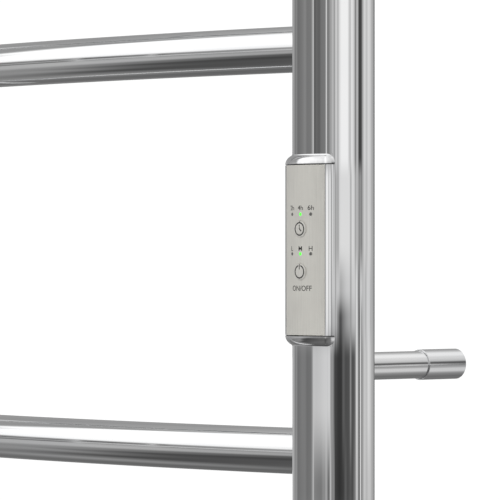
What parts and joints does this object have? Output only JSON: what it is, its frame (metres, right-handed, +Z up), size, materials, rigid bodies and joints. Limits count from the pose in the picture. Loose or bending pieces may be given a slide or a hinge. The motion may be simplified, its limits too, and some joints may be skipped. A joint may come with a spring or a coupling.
{
  "type": "electric towel warmer",
  "caption": "Wall-hung polished steel towel warmer: crowned upright posts, bowed round rails, adjustable wall brackets and a touch control with sprung timer and power buttons.",
  "frame": {"origin": "on the wall plane, at the centre of the four wall screws", "axes": "+X to the right of a person facing the wall, +Y into the wall, -Y into the room, +Z up"},
  "size_m": [0.6007, 0.1505, 1.013],
  "materials": {
    "polished_steel": "mirror-polished stainless steel",
    "turned_steel": "turned stainless steel",
    "dark_screw": "black oxide",
    "satin_face": "warm grey satin, finely brushed upwards",
    "satin_button": "warm grey satin",
    "seal_rubber": "matt",
    "green_board": "solder mask",
    "black_parts": "moulded",
    "lit_lens": "clear lens over a lit green indicator",
    "dark_lens": "clear lens over an unlit indicator",
    "red_wire": "insulation",
    "heater_jacket": "silicone jacket",
    "ceramic": "glazed ceramic",
    "gland_nylon": "moulded nylon",
    "brass": "plain"
  },
  "bodies": {
    "wall_fixings": {"lower_left_bushing": "turned_steel", "lower_right_bushing": "turned_steel", "upper_left_bushing": "turned_steel", "upper_right_bushing": "turned_steel"},
    "rack": {"left_post": "polished_steel", "right_post": "polished_steel", "lower_rail": "polished_steel", "lower_middle_rail": "polished_steel", "upper_middle_rail": "polished_steel", "upper_rail": "polished_steel", "left_top_cap": "polished_steel", "right_top_cap": "polished_steel", "left_bottom_cap": "polished_steel", "right_bottom_cap": "polished_steel", "lower_left_stub": "polished_steel", "lower_right_stub": "polished_steel", "upper_left_stub": "polished_steel", "upper_right_stub": "polished_steel", "grub_screws": "dark_screw", "housing_screws": "dark_screw", "control_housing": "polished_steel", "upper_end_cap": "polished_steel", "lower_end_cap": "polished_steel", "face_panel": "satin_face", "housing_gasket": "seal_rubber", "wire_grommet": "seal_rubber", "circuit_board": "green_board", "board_components": "black_parts", "timer_switch": "black_parts", "power_switch": "black_parts", "lit_lenses": "lit_lens", "dark_lenses": "dark_lens", "control_wires": "red_wire", "heating_cable": "heater_jacket", "thermal_fuse": "ceramic", "terminal_block": "ceramic", "cable_gland": "gland_nylon", "gland_nut": "gland_nylon", "earth_tag": "brass", "earth_screw": "brass"},
    "lower_left_collar": {"lower_left_collar": "polished_steel"},
    "lower_right_collar": {"lower_right_collar": "polished_steel"},
    "upper_left_collar": {"upper_left_collar": "polished_steel"},
    "upper_right_collar": {"upper_right_collar": "polished_steel"},
    "timer_button": {"timer_button": "satin_button", "timer_plunger": "black_parts"},
    "power_button": {"power_button": "satin_button", "power_plunger": "black_parts"}
  },
  "joints": [
    {"name": "standoff_slide", "type": "slide", "parent": "wall_fixings", "child": "rack", "axis": [0, -1, 0], "range_m": [-0.008, 0.008]},
    {"name": "lower_left_collar_slide", "type": "slide", "parent": "wall_fixings", "child": "lower_left_collar", "axis": [0, -1, 0], "range_m": [0, 0.03]},
    {"name": "lower_right_collar_slide", "type": "slide", "parent": "wall_fixings", "child": "lower_right_collar", "axis": [0, -1, 0], "range_m": [0, 0.03]},
    {"name": "upper_left_collar_slide", "type": "slide", "parent": "wall_fixings", "child": "upper_left_collar", "axis": [0, -1, 0], "range_m": [0, 0.03]},
    {"name": "upper_right_collar_slide", "type": "slide", "parent": "wall_fixings", "child": "upper_right_collar", "axis": [0, -1, 0], "range_m": [0, 0.03]},
    {"name": "timer_press", "type": "slide", "parent": "rack", "child": "timer_button", "axis": [0, 1, 0], "range_m": [0, 0.0006], "stiffness_N_per_m": 2500},
    {"name": "power_press", "type": "slide", "parent": "rack", "child": "power_button", "axis": [0, 1, 0], "range_m": [0, 0.0006], "stiffness_N_per_m": 2500}
  ]
}
